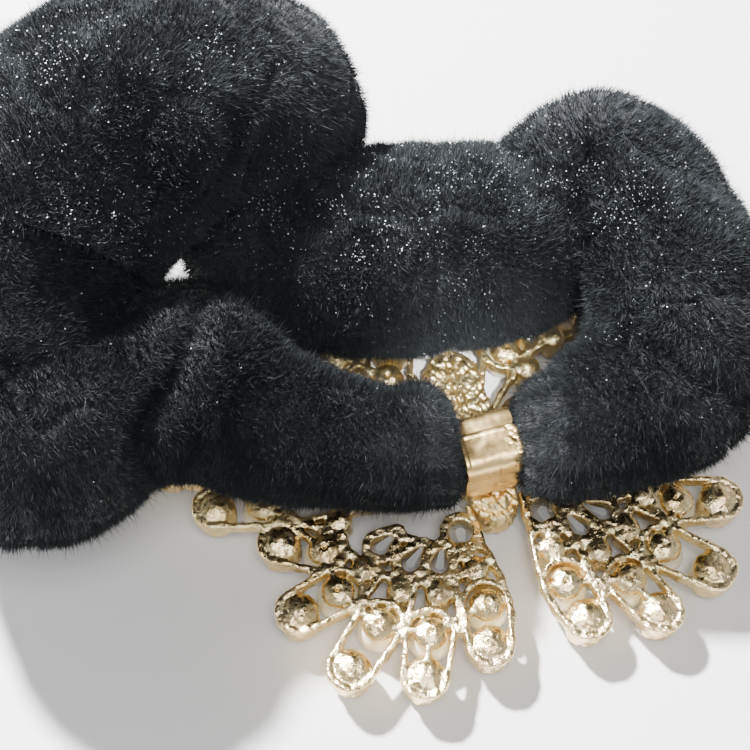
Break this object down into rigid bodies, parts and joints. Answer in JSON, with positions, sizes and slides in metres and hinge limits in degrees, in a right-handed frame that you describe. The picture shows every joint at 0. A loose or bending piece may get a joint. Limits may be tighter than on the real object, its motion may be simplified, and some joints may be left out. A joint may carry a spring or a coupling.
{
  "type": "hair scrunchie with ornament",
  "caption": "Black velvet hair scrunchie pinched through a folded metal strap on the back of an openwork cast wing ornament set with pearls and clear stones.",
  "frame": {"origin": "middle of the ornament under the strap, on the flat table of the centre stone, which lies on the table when the ornament is face down", "axes": "+X along the ornament's wingspan, +Y towards its upper wings, +Z out of its back, towards the scrunchie"},
  "size_m": [0.1211, 0.0981, 0.0516],
  "materials": {
    "gold_casting": "pale gold plating on a rough bright casting",
    "gold_strap": "pale gold plated strip, folded, smooth",
    "pearl": "cream pearl lacquer",
    "crystal": "clear faceted",
    "velvet": "long-pile crushed velvet with glinting fibres",
    "elastic": "woven covering"
  },
  "bodies": {
    "ornament": {"centre_stone": "crystal", "elastic_neck": "elastic", "hub_stone": "crystal", "pear_stones_left": "crystal", "pear_stones_right": "crystal", "pearls_lower_left": "pearl", "pearls_lower_right": "pearl", "pearls_upper_left": "pearl", "pearls_upper_right": "pearl", "small_stones_left": "crystal", "small_stones_right": "crystal", "spine": "gold_casting", "spine_stones": "crystal", "strap": "gold_strap", "tip_stones_lower_left": "crystal", "tip_stones_lower_right": "crystal", "tip_stones_upper_left": "crystal", "tip_stones_upper_right": "crystal", "velvet_neck": "velvet", "wing_left": "gold_casting", "wing_right": "gold_casting"},
    "ring_near": {"elastic_near_left": "elastic", "elastic_near_right": "elastic", "velvet_near_left": "velvet", "velvet_near_right": "velvet"},
    "ring_far": {"elastic_far_left": "elastic", "elastic_far_middle": "elastic", "elastic_far_right": "elastic", "velvet_far_left": "velvet", "velvet_far_middle": "velvet", "velvet_far_right": "velvet"}
  },
  "joints": [
    {"name": "ring_roll", "type": "hinge", "parent": "ornament", "child": "ring_near", "pos_m": [0, -0.0009, 0.017], "axis": [0.9806, -0.1959, 0], "range_deg": [0, 90]},
    {"name": "ring_stretch", "type": "slide", "parent": "ring_near", "child": "ring_far", "axis": [0.1959, 0.9806, 0], "range_m": [0, 0.025], "stiffness_N_per_m": 100}
  ]
}
